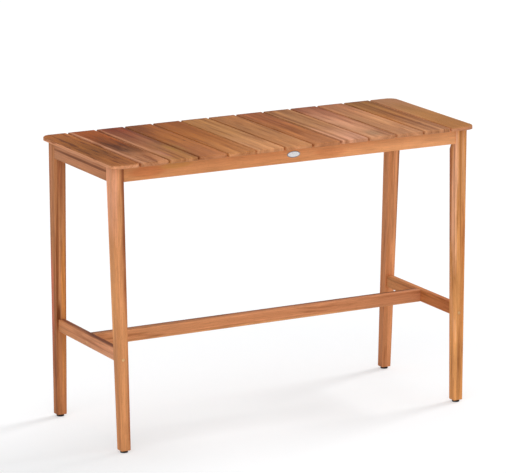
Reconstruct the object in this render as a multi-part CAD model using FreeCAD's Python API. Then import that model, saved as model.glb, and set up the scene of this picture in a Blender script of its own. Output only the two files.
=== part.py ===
import FreeCAD, Part
import math
import os

from FreeCAD import Placement, Rotation, Vector

# A slatted bar table in hardwood, in millimetres. +Z is up, +X runs along the table's length and its front
# is at -Y. The origin is on the floor under the middle of the table.

# Fastenings, their holes and the feet are many-sided, with few faces, because there are many of them
fastening_sides = 10
screw_sides = 6
pad_sides = 36
stud_sides = 24

# Overall size
top_length = 1410.0
top_depth = 568.0
table_height = 1000.0

# Top boards, laid front to back side by side
board_count = 13
board_thickness = 12.5
board_gap = 8.0
end_board_width = 97.7
top_corner_radius = 34.0
board_edge_chamfer = 2.5

# Legs: a square block between the aprons, then a taper that leans in along X and out along Y
top_overhang_x = 14.3
top_overhang_y = 37.1
leg_block_width = 44.4
leg_foot_width_x = 36.0
leg_foot_width_y = 33.3
leg_lean_in_x = 16.1
leg_splay_out_y = 20.4
leg_edge_radius = 2.5
leg_end_chamfer = 1.5
leg_flat_cut = 14.0
leg_flat_runout = 29.0

# Aprons
apron_height = 55.0
apron_thickness = 20.0
long_apron_setback = 3.0
end_apron_setback = 1.0
apron_edge_radius = 2.5

# Rails that carry the boards
rail_height = 30.0
rail_thickness = 20.0
rail_housing_depth = 8.0
rail_end_gap = 5.0

# Corner blocks
block_height = 48.0
block_thickness = 22.0
block_to_leg_gap = 4.0
block_below_boards = 2.5

# Stretchers of the footrest
stretcher_bottom = 312.9
stretcher_height = 43.0
stretcher_edge_radius = 2.5
end_stretcher_thickness = 24.7
end_stretcher_inset = 7.8              # from the legs' outer faces, at the bolts' height
long_stretcher_width = 33.0

# Levelling feet
foot_gap = 7.8
foot_travel = 10.0
pad_radius = 13.4
pad_height = 5.0
pad_rim_chamfer = 1.2
pad_floor_thickness = 1.6
stud_radius = 4.0
stud_left_in_leg = 19.5                 # with the foot all the way out
stud_neck_radius = 5.0
collar_across_flats = 13.0
collar_height = 2.3
collar_clearance = 0.2
sleeve_radius = 6.0
sleeve_length = 16.0
stud_end_clearance = 1.0
running_clearance = 0.05

# Hanger bolts, washers and nuts at the corner blocks
hanger_radius = 4.0
hanger_depth_in_leg = 32.0
hanger_past_nut = 3.0
washer_radius = 9.0
washer_thickness = 1.6
nut_across_flats = 13.0
nut_height = 6.5

# Bolts, cross dowel nuts and wooden dowels at the stretcher joints
bolt_radius = 3.0
bolt_head_radius = 5.5
bolt_head_height = 3.5
bolt_head_recess = 0.8
bolt_head_clearance = 0.1
bolt_past_nut = 3.0
bolt_height_in_stretcher = 12.1
socket_across_flats = 4.0
socket_depth = 2.2
cross_nut_radius = 5.0
cross_nut_length = 18.0
cross_nut_from_joint = 30.0
dowel_radius = 4.0
dowel_length = 36.0
dowel_above_bolt = 20.0

# Wood screws
screw_radius = 2.0
screw_head_radius = 4.0
screw_head_height = 2.5
screw_tip_radius = 1.2
slat_screw_length = 40.0
rail_screw_length = 36.0
block_screw_length = 28.0
block_screw_wood = 11.0
slat_screw_spacing = 60.0
rail_screw_gaps = (1, 4)                # the rail screws are beside these gaps, counted from the middle
end_slat_screw_y_shares = (0.3, 0.83)   # of the end rail's half length
end_rail_screw_y_share = 0.57

# How far a cutting shape runs past what it cuts
overrun = 10.0

# How close two heights must be to count as one, and how much of an edge's run goes along a parallel line
same_height = 1e-6
parallel_share = 0.999

# Sizes worked out from the ones above
board_width = ((top_length - 2 * end_board_width - (board_count - 1) * board_gap)
               / (board_count - 2))
board_pitch = board_width + board_gap
boards_from_middle = board_count // 2
boards_underside = table_height - board_thickness
apron_bottom = boards_underside - apron_height
leg_bottom = foot_gap
leg_outer_x = top_length / 2 - top_overhang_x
leg_outer_y = top_depth / 2 - top_overhang_y
leg_inner_x = leg_outer_x - leg_block_width
leg_inner_y = leg_outer_y - leg_block_width
long_apron_outer_y = leg_outer_y - long_apron_setback
long_apron_inner_y = long_apron_outer_y - apron_thickness
end_apron_outer_x = leg_outer_x - end_apron_setback
end_apron_inner_x = end_apron_outer_x - apron_thickness
rail_bottom = boards_underside - rail_height
rail_middle = boards_underside - rail_height / 2
long_rail_inner_y = long_apron_inner_y - rail_thickness
end_rail_inner_x = end_apron_inner_x - rail_thickness
stretcher_top = stretcher_bottom + stretcher_height
bolt_height = stretcher_bottom + bolt_height_in_stretcher
dowel_height = bolt_height + dowel_above_bolt
block_top = boards_underside - block_below_boards
block_bottom = block_top - block_height
block_middle = block_top - block_height / 2

# On the leg's flat, and on the block's two wide faces, x + y has one value all over
leg_flat_sum = leg_inner_x + leg_inner_y + leg_flat_cut
block_outer_sum = leg_flat_sum - block_to_leg_gap * math.sqrt(2)
block_inner_sum = block_outer_sum - block_thickness * math.sqrt(2)
long_rail_half = block_inner_sum - long_apron_inner_y - rail_end_gap
end_rail_half = block_inner_sum - end_apron_inner_x - rail_end_gap
end_rail_middle_x = (end_rail_inner_x + end_apron_inner_x) / 2
long_rail_middle_y = (long_rail_inner_y + long_apron_inner_y) / 2

up = Vector(0, 0, 1)
to_middle_x = Vector(-1, 0, 0)
to_middle_y = Vector(0, -1, 0)
corners = {"front_left": (-1, -1), "front_right": (1, -1), "rear_left": (-1, 1), "rear_right": (1, 1)}
ends = {"left": -1, "right": 1}
sides = {"front": -1, "rear": 1}


# Small tools

def block(x0, x1, y0, y1, z0, z1):
    return Part.makeBox(x1 - x0, y1 - y0, z1 - z0, Vector(x0, y0, z0))


def prism(points, travel):
    """A flat outline through the points, moved along travel."""
    return flat_face(points).extrude(travel)


def closed(faces):
    return Part.makeSolid(Part.makeShell(faces))


def flat_face(points):
    return Part.Face(Part.makePolygon(points + points[:1]))


def ring_points(radius, sides, z):
    angles = [2 * math.pi * k / sides for k in range(sides)]
    return [Vector(radius * math.cos(a), radius * math.sin(a), z) for a in angles]


def bar(radius, bottom, top, sides=fastening_sides):
    """A many-sided bar about Z."""
    return prism(ring_points(radius, sides, bottom), up * (top - bottom))


def many_sided(outline, sides):
    """A solid about Z through (radius, height) rings, with flat faces only."""
    rings = [ring_points(radius, sides, height) for radius, height in outline]
    faces = [flat_face(rings[0]), flat_face(rings[-1])]
    for lower, upper in zip(rings, rings[1:]):
        for here in range(sides):
            after = (here + 1) % sides
            faces.append(flat_face([lower[here], lower[after], upper[after], upper[here]]))
    return closed(faces)


def hexagon(across_flats, bottom, top):
    return bar(across_flats / math.sqrt(3), bottom, top, 6)


def aimed(shape, point, direction):
    """A copy of a shape made along Z from zero, put at a point and turned to a direction."""
    placed = shape.copy()
    placed.Placement = Placement(point, Rotation(up, direction)).multiply(shape.Placement)
    return placed


def at_corner(shape, side_x, side_y):
    """A shape made at the rear right corner, mirrored to another one."""
    if side_x < 0:
        shape = shape.mirror(Vector(0, 0, 0), Vector(1, 0, 0))
    if side_y < 0:
        shape = shape.mirror(Vector(0, 0, 0), Vector(0, 1, 0))
    return shape


def at_all_corners(shapes):
    return [at_corner(shape, *signs) for signs in corners.values() for shape in shapes]


def rounded_edges(shape, radius, chosen):
    return shape.makeFillet(radius, [edge for edge in shape.Edges if chosen(edge)])


def chamfered_edges(shape, size, chosen):
    return shape.makeChamfer(size, [edge for edge in shape.Edges if chosen(edge)])


def lies_at(edge, z):
    box = edge.BoundBox
    return abs(box.ZMin - z) < same_height and abs(box.ZMax - z) < same_height


def runs_along(edge, axis):
    ends_of_edge = [vertex.Point for vertex in edge.Vertexes]
    if len(ends_of_edge) < 2:
        return False
    run = ends_of_edge[1] - ends_of_edge[0]
    return run.Length > 0 and abs(run.normalize().dot(axis)) > parallel_share


# Where the legs' faces are at a height

def leg_taper(z):
    """0 down to the aprons' lower edge, 1 at the leg's end."""
    return max(0, (apron_bottom - z) / (apron_bottom - leg_bottom))


def leg_span_x(z):
    taper = leg_taper(z)
    outer = leg_outer_x - leg_lean_in_x * taper
    width = leg_block_width + (leg_foot_width_x - leg_block_width) * taper
    return outer - width, outer


def leg_span_y(z):
    taper = leg_taper(z)
    outer = leg_outer_y + leg_splay_out_y * taper
    width = leg_block_width + (leg_foot_width_y - leg_block_width) * taper
    return outer - width, outer


def middle(span):
    return (span[0] + span[1]) / 2


end_stretcher_outer_x = leg_span_x(bolt_height)[1] - end_stretcher_inset
end_stretcher_inner_x = end_stretcher_outer_x - end_stretcher_thickness
bolt_x = middle(leg_span_x(bolt_height))
foot_x = middle(leg_span_x(leg_bottom))
foot_y = middle(leg_span_y(leg_bottom))


# Top boards

def board_middle_x(index):
    """The boards are numbered from the left, from 0."""
    steps = index - boards_from_middle
    if abs(steps) < boards_from_middle:
        return steps * board_pitch
    return math.copysign((top_length - end_board_width) / 2, steps)


def middle_board(x):
    half = board_width / 2
    board = block(x - half, x + half, -top_depth / 2, top_depth / 2, boards_underside, table_height)
    return chamfered_edges(board, board_edge_chamfer, lambda edge: not lies_at(edge, boards_underside))


def end_board(side):
    """The outer board, its two outer corners cut to a wide round."""
    outer = top_length / 2
    inner = outer - end_board_width
    board = block(inner, outer, -top_depth / 2, top_depth / 2, boards_underside, table_height)
    board = rounded_edges(board, top_corner_radius,
                          lambda edge: runs_along(edge, up) and edge.BoundBox.XMin > inner + board_gap)
    board = chamfered_edges(board, board_edge_chamfer,
                            lambda edge: lies_at(edge, table_height)
                            or runs_along(edge, up) and edge.BoundBox.XMax < inner + board_gap)
    return at_corner(board, side, 1)


# Legs

def narrowed(span, amount):
    return span[0] + amount, span[1] - amount


def section(z, narrowing=0):
    """The leg's section at a height: per side its two end points and the middle of the round after it."""
    x0, x1 = narrowed(leg_span_x(z), narrowing)
    y0, y1 = narrowed(leg_span_y(z), narrowing)
    cut = leg_edge_radius
    on_round = cut * (1 - math.sqrt(0.5))
    return [
        (Vector(x0 + cut, y0, z), Vector(x1 - cut, y0, z), Vector(x1 - on_round, y0 + on_round, z)),
        (Vector(x1, y0 + cut, z), Vector(x1, y1 - cut, z), Vector(x1 - on_round, y1 - on_round, z)),
        (Vector(x1 - cut, y1, z), Vector(x0 + cut, y1, z), Vector(x0 + on_round, y1 - on_round, z)),
        (Vector(x0, y1 - cut, z), Vector(x0, y0 + cut, z), Vector(x0 + on_round, y0 + on_round, z)),
    ]


def rounds_of(sides_of_section):
    starts_after = [start for start, end, on_round in sides_of_section[1:] + sides_of_section[:1]]
    return [Part.Arc(end, on_round, start_after).toShape()
            for (start, end, on_round), start_after in zip(sides_of_section, starts_after)]


def end_face(sides_of_section):
    lines = [Part.LineSegment(start, end).toShape() for start, end, on_round in sides_of_section]
    rounds = rounds_of(sides_of_section)
    return Part.Face(Part.Wire([edge for pair in zip(lines, rounds) for edge in pair]))


def leg_post():
    """Flat sides and ruled rounds from section to section."""
    sections = [section(boards_underside), section(apron_bottom), section(leg_bottom + leg_end_chamfer),
                section(leg_bottom, leg_end_chamfer)]
    faces = [end_face(sections[0]), end_face(sections[-1])]
    for above, below in zip(sections, sections[1:]):
        for side_above, side_below in zip(above, below):
            faces.append(flat_face([side_above[0], side_above[1], side_below[1], side_below[0]]))
        for round_above, round_below in zip(rounds_of(above), rounds_of(below)):
            faces.append(Part.makeRuledSurface(round_above, round_below))
    return closed(faces)


def leg_corner_flat():
    """What is planed off the leg's inner top corner: a 45 degree flat that runs out below the aprons."""
    depth = leg_flat_cut / math.sqrt(2)
    run_out = apron_bottom - leg_flat_runout
    outline = [(-overrun, boards_underside + overrun), (depth, boards_underside + overrun),
               (depth, apron_bottom), (0, run_out), (-overrun, run_out)]
    into_leg = Vector(1, 1, 0).normalize()
    across = Vector(-1, 1, 0).normalize()
    corner = Vector(leg_inner_x, leg_inner_y, 0) - across * leg_block_width
    points = [corner + into_leg * distance + up * height for distance, height in outline]
    return prism(points, across * (2 * leg_block_width))


def leg():
    """The rear right leg."""
    post = leg_post().cut(leg_corner_flat())
    for cutter in (hanger_bolt(), leg_bolt_hole(), leg_dowel(), foot_hole()):
        post = post.cut(cutter)
    return post


# Aprons

def long_apron(side):
    apron = block(-leg_inner_x, leg_inner_x, long_apron_inner_y, long_apron_outer_y,
                  apron_bottom, boards_underside)
    apron = rounded_edges(apron, apron_edge_radius,
                          lambda edge: lies_at(edge, apron_bottom) and runs_along(edge, to_middle_x))
    return at_corner(apron, 1, side)


def end_apron(side):
    apron = block(end_apron_inner_x, end_apron_outer_x, -leg_inner_y, leg_inner_y,
                  apron_bottom, boards_underside)
    apron = rounded_edges(apron, apron_edge_radius,
                          lambda edge: lies_at(edge, apron_bottom) and runs_along(edge, to_middle_y))
    return at_corner(apron, side, 1)


# Rails under the boards

def long_rail(side):
    rail = block(-long_rail_half, long_rail_half, long_rail_inner_y, long_apron_inner_y,
                 rail_bottom, boards_underside)
    return at_corner(rail, 1, side)


def centre_rail():
    """Its ends are housed in the end rails."""
    half = end_rail_inner_x + rail_housing_depth
    return block(-half, half, -rail_thickness / 2, rail_thickness / 2, rail_bottom, boards_underside)


def end_rail(side):
    rail = block(end_rail_inner_x, end_apron_inner_x, -end_rail_half, end_rail_half,
                 rail_bottom, boards_underside)
    return at_corner(rail.cut(centre_rail()), side, 1)


# Corner blocks with their hanger bolts

def hanger_start():
    """The middle of the leg's flat."""
    return Vector(leg_inner_x + leg_flat_cut / 2, leg_inner_y + leg_flat_cut / 2, block_middle)


out_of_leg = Vector(-1, -1, 0).normalize()
washer_seat = block_to_leg_gap + block_thickness
nut_seat = washer_seat + washer_thickness
hanger_end = nut_seat + nut_height + hanger_past_nut


def hanger_shank():
    return bar(hanger_radius, -hanger_depth_in_leg, hanger_end)


def hanger_bolt():
    return aimed(hanger_shank(), hanger_start(), out_of_leg)


def hanger_washer():
    ring = bar(washer_radius, washer_seat, nut_seat).cut(hanger_shank())
    return aimed(ring, hanger_start(), out_of_leg)


def hanger_nut():
    nut = hexagon(nut_across_flats, nut_seat, nut_seat + nut_height).cut(hanger_shank())
    return aimed(nut, hanger_start(), out_of_leg)


def wood_screw(length):
    """A countersunk screw, its head at zero."""
    outline = [(screw_head_radius, 0), (screw_radius, screw_head_height), (screw_tip_radius, length)]
    return many_sided(outline, screw_sides)


def block_screw_places():
    """Where the heads of the two screws of a block are, and the way each screw goes."""
    long_x = (block_outer_sum + block_inner_sum) / 2 - long_apron_inner_y
    end_y = (block_outer_sum + block_inner_sum) / 2 - end_apron_inner_x
    return [(Vector(long_x, long_apron_inner_y - block_screw_wood, block_middle), Vector(0, 1, 0)),
            (Vector(end_apron_inner_x - block_screw_wood, end_y, block_middle), Vector(1, 0, 0))]


def corner_block():
    """A bevelled block across the rear right corner, with its bevels on the aprons."""
    footprint = [Vector(block_outer_sum - long_apron_inner_y, long_apron_inner_y, block_bottom),
                 Vector(block_inner_sum - long_apron_inner_y, long_apron_inner_y, block_bottom),
                 Vector(end_apron_inner_x, block_inner_sum - end_apron_inner_x, block_bottom),
                 Vector(end_apron_inner_x, block_outer_sum - end_apron_inner_x, block_bottom)]
    return prism(footprint, up * block_height).cut(hanger_bolt())


# Footrest

def end_stretcher(side):
    """Its ends follow the inner faces of the leaning legs."""
    top_y = leg_span_y(stretcher_top)[0]
    bottom_y = leg_span_y(stretcher_bottom)[0]
    outline = [Vector(end_stretcher_inner_x, -bottom_y, stretcher_bottom),
               Vector(end_stretcher_inner_x, bottom_y, stretcher_bottom),
               Vector(end_stretcher_inner_x, top_y, stretcher_top),
               Vector(end_stretcher_inner_x, -top_y, stretcher_top)]
    rest = prism(outline, Vector(end_stretcher_thickness, 0, 0))
    rest = rounded_edges(rest, stretcher_edge_radius, lambda edge: runs_along(edge, to_middle_y))
    for across in sides.values():
        for cutter in (leg_bolt_hole(), leg_dowel(), leg_cross_nut_hole()):
            rest = rest.cut(at_corner(cutter, 1, across))
    rest = rest.cut(long_bolt_hole()).cut(long_dowel())
    return at_corner(rest, side, 1)


def long_stretcher():
    rest = block(-end_stretcher_inner_x, end_stretcher_inner_x,
                 -long_stretcher_width / 2, long_stretcher_width / 2, stretcher_bottom, stretcher_top)
    rest = rounded_edges(rest, stretcher_edge_radius, lambda edge: runs_along(edge, to_middle_x))
    for side in ends.values():
        for cutter in (long_bolt_hole(), long_dowel(), long_cross_nut_hole()):
            rest = rest.cut(at_corner(cutter, side, 1))
    return rest


# Stretcher joints: each has a bolt into a cross dowel nut, and a wooden dowel above it.
# A joint is given by the face that the head is sunk in, the face where the two pieces meet, and the way in.

leg_face = Vector(bolt_x, leg_span_y(bolt_height)[1], bolt_height)
leg_joint = Vector(bolt_x, leg_span_y(bolt_height)[0], bolt_height)
long_face = Vector(end_stretcher_outer_x, 0, bolt_height)
long_joint = Vector(end_stretcher_inner_x, 0, bolt_height)


def stretcher_bolt(face, joint, inward):
    shank_end = ((joint - face).Length + cross_nut_from_joint + cross_nut_radius + bolt_past_nut
                 - bolt_head_recess)
    head = bar(bolt_head_radius, 0, bolt_head_height).cut(hexagon(socket_across_flats, 0, socket_depth))
    bolt = head.fuse(bar(bolt_radius, bolt_head_height, shank_end))
    return aimed(bolt, face + inward * bolt_head_recess, inward)


def stretcher_bolt_hole(face, joint, inward):
    """The clearance for the head, out through the face, and a close hole for the shank."""
    depth = (joint - face).Length + cross_nut_from_joint + cross_nut_radius + bolt_past_nut
    head_room = bar(bolt_head_radius + bolt_head_clearance, -overrun, bolt_head_recess + bolt_head_height)
    return aimed(head_room.fuse(bar(bolt_radius, 0, depth)), face, inward)


def cross_nut(joint, inward):
    """A barrel across the stretcher, bored for the bolt."""
    barrel = bar(cross_nut_radius, -cross_nut_length / 2, cross_nut_length / 2)
    barrel.translate(joint + inward * cross_nut_from_joint)
    bore = bar(bolt_radius, 0, 2 * cross_nut_from_joint)
    return barrel.cut(aimed(bore, joint, inward))


def cross_nut_hole(joint, inward):
    """Open at the stretcher's underside."""
    hole = bar(cross_nut_radius, stretcher_bottom - overrun - bolt_height, cross_nut_length / 2)
    hole.translate(joint + inward * cross_nut_from_joint)
    return hole


def dowel(joint, inward):
    peg = bar(dowel_radius, -dowel_length / 2, dowel_length / 2)
    return aimed(peg, Vector(joint.x, joint.y, dowel_height), inward)


def leg_bolt():
    return stretcher_bolt(leg_face, leg_joint, to_middle_y)


def leg_bolt_hole():
    return stretcher_bolt_hole(leg_face, leg_joint, to_middle_y)


def leg_cross_nut():
    return cross_nut(leg_joint, to_middle_y)


def leg_cross_nut_hole():
    return cross_nut_hole(leg_joint, to_middle_y)


def leg_dowel():
    return dowel(leg_joint, to_middle_y)


def long_bolt():
    return stretcher_bolt(long_face, long_joint, to_middle_x)


def long_bolt_hole():
    return stretcher_bolt_hole(long_face, long_joint, to_middle_x)


def long_cross_nut():
    return cross_nut(long_joint, to_middle_x)


def long_cross_nut_hole():
    return cross_nut_hole(long_joint, to_middle_x)


def long_dowel():
    return dowel(long_joint, to_middle_x)


# Levelling feet, on the rear right leg. They are drawn screwed home, with all their travel left.
# The many-sided neck and shank turn in a round socket and a round bore.

stud_bottom = pad_floor_thickness + collar_clearance
collar_bottom = pad_height + collar_clearance
collar_top = collar_bottom + collar_height
stud_top = collar_top + foot_travel + stud_left_in_leg


def at_foot(shape):
    shape.translate(Vector(foot_x, foot_y, 0))
    return shape


def foot_sleeve():
    """The threaded sleeve in the leg's end."""
    bore = Part.makeCylinder(stud_radius + running_clearance, sleeve_length, Vector(0, 0, leg_bottom))
    return at_foot(bar(sleeve_radius, leg_bottom, leg_bottom + sleeve_length).cut(bore))


def foot_hole():
    """The leg's hole for the sleeve, which goes on above it to clear the stud."""
    return at_foot(bar(sleeve_radius, leg_bottom - overrun, stud_top + stud_end_clearance))


def foot_pad():
    """A round pad with a socket in which the stud's neck turns."""
    disc = many_sided([(pad_radius, 0), (pad_radius, pad_height - pad_rim_chamfer),
                       (pad_radius - pad_rim_chamfer, pad_height)], pad_sides)
    socket = Part.makeCylinder(stud_neck_radius + running_clearance, pad_height,
                               Vector(0, 0, pad_floor_thickness))
    return at_foot(disc.cut(socket))


def foot_stud():
    """Neck, hexagonal collar and threaded shank."""
    neck = bar(stud_neck_radius, stud_bottom, collar_bottom, stud_sides)
    collar = hexagon(collar_across_flats, collar_bottom, collar_top)
    shank = bar(stud_radius, collar_top, stud_top, stud_sides)
    return at_foot(neck.fuse(collar).fuse(shank))


# Screws

def slat_screws():
    """Up through the rails into the boards."""
    screw = wood_screw(slat_screw_length)
    places = []
    for index in range(1, board_count - 1):
        for step in (-slat_screw_spacing / 2, slat_screw_spacing / 2):
            for side in sides.values():
                places.append((board_middle_x(index) + step, side * long_rail_middle_y))
    for end in ends.values():
        for share in end_slat_screw_y_shares:
            for side in sides.values():
                places.append((end * end_rail_middle_x, side * share * end_rail_half))
    return [aimed(screw, Vector(x, y, rail_bottom), up) for x, y in places]


def rail_screws():
    """Sideways through the rails into the aprons, between the boards' screws."""
    screw = wood_screw(rail_screw_length)
    long_ones = [aimed(screw, Vector((gap + 0.5) * board_pitch, long_rail_inner_y, rail_middle),
                       Vector(0, 1, 0)) for gap in rail_screw_gaps]
    end_one = aimed(screw, Vector(end_rail_inner_x, end_rail_screw_y_share * end_rail_half, rail_middle),
                    Vector(1, 0, 0))
    return at_all_corners(long_ones + [end_one])


def corner_block_screws():
    screw = wood_screw(block_screw_length)
    return at_all_corners([aimed(screw, point, way) for point, way in block_screw_places()])


# All the nodes

def group(solids):
    return Part.makeCompound(solids)


def nodes():
    made = {}
    for index in range(board_count):
        side = index - boards_from_middle
        is_end = abs(side) == boards_from_middle
        board = end_board(side) if is_end else middle_board(board_middle_x(index))
        made[f"top_board_{index + 1:02d}"] = board
    for name, side in sides.items():
        made[f"{name}_apron"] = long_apron(side)
        made[f"{name}_slat_rail"] = long_rail(side)
    made["centre_slat_rail"] = centre_rail()
    for name, side in ends.items():
        made[f"{name}_end_apron"] = end_apron(side)
        made[f"{name}_end_slat_rail"] = end_rail(side)
        made[f"{name}_stretcher"] = end_stretcher(side)
    made["long_stretcher"] = long_stretcher()
    for name, signs in corners.items():
        made[f"{name}_leg"] = at_corner(leg(), *signs)
        made[f"{name}_corner_block"] = at_corner(corner_block(), *signs)
        made[f"{name}_foot_pad"] = at_corner(foot_pad(), *signs)
        made[f"{name}_foot_stud"] = at_corner(foot_stud(), *signs)
    long_joints = [at_corner(shape, side, 1) for side in ends.values()
                   for shape in (long_bolt(), long_cross_nut(), long_dowel())]
    made["stretcher_bolts"] = group(at_all_corners([leg_bolt()]) + long_joints[0::3])
    made["cross_dowel_nuts"] = group(at_all_corners([leg_cross_nut()]) + long_joints[1::3])
    made["wooden_dowels"] = group(at_all_corners([leg_dowel()]) + long_joints[2::3])
    made["foot_sleeves"] = group(at_all_corners([foot_sleeve()]))
    made["hanger_bolts"] = group(at_all_corners([hanger_bolt()]))
    made["hanger_washers"] = group(at_all_corners([hanger_washer()]))
    made["hanger_nuts"] = group(at_all_corners([hanger_nut()]))
    made["slat_screws"] = group(slat_screws())
    made["rail_screws"] = group(rail_screws())
    made["corner_block_screws"] = group(corner_block_screws())
    return made


os.makedirs("parts", exist_ok=True)
for name, shape in nodes().items():
    shape.exportStep(f"parts/{name}.step")
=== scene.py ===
import math

import bmesh
import bpy
from mathutils import Euler, Matrix, Vector


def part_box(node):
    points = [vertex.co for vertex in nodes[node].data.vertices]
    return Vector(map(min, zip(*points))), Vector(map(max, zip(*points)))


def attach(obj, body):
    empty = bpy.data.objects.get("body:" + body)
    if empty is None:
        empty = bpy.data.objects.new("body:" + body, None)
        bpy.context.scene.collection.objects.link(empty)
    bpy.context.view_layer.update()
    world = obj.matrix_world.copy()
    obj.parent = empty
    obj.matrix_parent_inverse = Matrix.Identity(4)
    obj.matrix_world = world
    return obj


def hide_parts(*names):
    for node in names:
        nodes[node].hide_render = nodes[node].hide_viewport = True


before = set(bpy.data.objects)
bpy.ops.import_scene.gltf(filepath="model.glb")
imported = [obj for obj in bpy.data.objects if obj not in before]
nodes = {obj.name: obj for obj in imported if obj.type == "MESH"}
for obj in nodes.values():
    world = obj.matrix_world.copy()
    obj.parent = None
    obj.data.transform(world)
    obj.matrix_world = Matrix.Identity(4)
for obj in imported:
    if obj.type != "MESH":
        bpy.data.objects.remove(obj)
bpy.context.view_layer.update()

print("bar table: frame loaded,", len(nodes), "nodes")

mm = 0.001
upwards = Vector((0, 0, 1))
corners = {"front_left": (-1, -1), "front_right": (1, -1), "rear_left": (-1, 1), "rear_right": (1, 1)}


def rgb(red, green, blue):
    # a screen colour, 0 to 255, as the linear colour that sockets take
    channels = [c / 255 for c in (red, green, blue)]
    return tuple(c / 12.92 if c <= 0.04045 else ((c + 0.055) / 1.055) ** 2.4 for c in channels) + (1,)


# camera, from the edges of the top, legs and footrest in the picture
cameraSettings = {
    "place": (-5.8699, -10.8135, 3.5629),
    "bearing": 28.39,    # degrees from +Y towards +X
    "drop": 13.44,       # degrees below level
    "lens": 258.2,
    "farthest": 500,     # m
}


def makeCamera(settings):
    bearing, drop = math.radians(settings["bearing"]), math.radians(settings["drop"])
    level = math.cos(drop)
    looking = Vector((math.sin(bearing) * level, math.cos(bearing) * level, -math.sin(drop)))
    data = bpy.data.cameras.new("camera")
    data.lens = settings["lens"]
    data.clip_end = settings["farthest"]
    camera = bpy.data.objects.new("camera", data)
    camera.location = settings["place"]
    camera.rotation_euler = looking.to_track_quat("-Z", "Y").to_euler()
    bpy.context.scene.collection.objects.link(camera)
    bpy.context.scene.camera = camera


makeCamera(cameraSettings)
print("bar table: camera set")


# node helpers

def newMaterial(name):
    material = bpy.data.materials.new(name)
    material.use_nodes = True
    tree = material.node_tree
    tree.nodes.clear()
    return material, tree


def add(tree, kind, inputs=None, **settings):
    # a node with its settings, its sockets filled by a value or by another node's output
    made = tree.nodes.new(kind)
    for key, value in settings.items():
        setattr(made, key, value)
    for key, value in (inputs or {}).items():
        if isinstance(value, bpy.types.NodeSocket):
            tree.links.new(value, made.inputs[key])
        else:
            made.inputs[key].default_value = value
    return made


def maths(tree, operation, first, second=0.0):
    return add(tree, "ShaderNodeMath", {0: first, 1: second}, operation=operation).outputs[0]


def times(tree, first, second):
    return maths(tree, "MULTIPLY", first, second)


def vectorMaths(tree, operation, first, second):
    return add(tree, "ShaderNodeVectorMath", {0: first, 1: second}, operation=operation).outputs[0]


def vectorLength(tree, vector):
    return add(tree, "ShaderNodeVectorMath", {0: vector}, operation="LENGTH").outputs["Value"]


def stretched(tree, coords, factors):
    return vectorMaths(tree, "MULTIPLY", coords, factors)


def noise(tree, coords, scale, detail, roughness=0.5):
    return add(tree, "ShaderNodeTexNoise",
               {"Vector": coords, "Scale": scale, "Detail": detail, "Roughness": roughness})


def bands(tree, distance, scale, detail, roughness=0.5):
    # bands of uneven width along one number
    return add(tree, "ShaderNodeTexNoise",
               {"W": distance, "Scale": scale, "Detail": detail, "Roughness": roughness},
               noise_dimensions="1D").outputs["Fac"]


def ranged(tree, value, limits, results=(0.0, 1.0)):
    # goes from the first result to the second as value goes from the first limit to the second, no further
    return add(tree, "ShaderNodeMapRange", {"Value": value, "From Min": limits[0], "From Max": limits[1],
                                            "To Min": results[0], "To Max": results[1]}).outputs["Result"]


def fading(tree, share, factor):
    # 1 where share is 0, and factor where it is 1
    return ranged(tree, share, (0.0, 1.0), (1.0, factor))


def around(value, swing):
    # the two ends of a swing about a value
    return value + swing[0], value + swing[1]


def mixed(tree, share, first, second, blend="MIX"):
    made = add(tree, "ShaderNodeMix", data_type="RGBA", blend_type=blend)
    sockets = (made.inputs[0], made.inputs[6], made.inputs[7])      # the share and the two colours
    for socket, value in zip(sockets, (share, first, second)):
        if isinstance(value, bpy.types.NodeSocket):
            tree.links.new(value, socket)
        else:
            socket.default_value = value
    return made.outputs[2]


def ramp(tree, value, stops):
    made = add(tree, "ShaderNodeValToRGB", {"Fac": value})
    elements = made.color_ramp.elements
    while len(elements) < len(stops):
        elements.new(0.5)    # moved to its own place below
    for element, (position, tone) in zip(elements, stops):
        element.position = position
        element.color = tone
    return made.outputs["Color"]


def finishMaterial(tree, shader):
    add(tree, "ShaderNodeOutputMaterial", {"Surface": shader.outputs[0]})


# wood: tones along the grain, growth rings about a heart, fibres, pores, patches (some of them painted
# shade and some painted highlights), painted highlights on upright faces and sawn ends, and edges painted
# paler for highlight and wear

woodDefaults = {
    "grain": "Z",
    "heart": (60, 20),       # mm across the grain, from the heart of the tree to the piece's middle
    "lean": (0.0, 0.0),      # how far the grain leans in X and Y for each length along Z
    "tones": [rgb(198, 134, 88), rgb(190, 126, 82)],    # from the grain's lower end to its upper
    "ringsPerMetre": 48,
    "streak": 0.7,           # strength of the dark and light rings
    "fleck": 0.5,            # strength of the long dark flecks
    "fleckSize": 16,         # mm across
    "linesPerMetre": 60,
    "lineDepth": 0.35,
    "lineTone": rgb(112, 56, 28),
    "waver": 9,              # mm that the rings sway
    "mottle": 0.5,
    "patches": [],           # place and half size in mm, tone, share
    "sideHighlightTone": rgb(206, 142, 106),
    "sideShare": 0.15,       # share of the side tone, a painted highlight, on upright faces
    "endGrain": 0.9,         # brightness of sawn ends, which drink more oil
    "endHighlightTone": rgb(240, 168, 124),
    "endHighlightShare": 0.0,          # share of the end tone, a painted highlight, on sawn ends
    # edgeTone paints the rounded edges paler: a painted highlight, and rubbed wear
    "edgeTone": rgb(222, 162, 118),
    "edgeShare": 0.65,
    "edgeWidth": 2.2,        # mm
    "roughness": 0.48,
}

grainTurns = {"X": (0, -90, 0), "Y": (90, 0, 0), "Z": (0, 0, 0)}    # degrees that bring the grain upright

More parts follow.
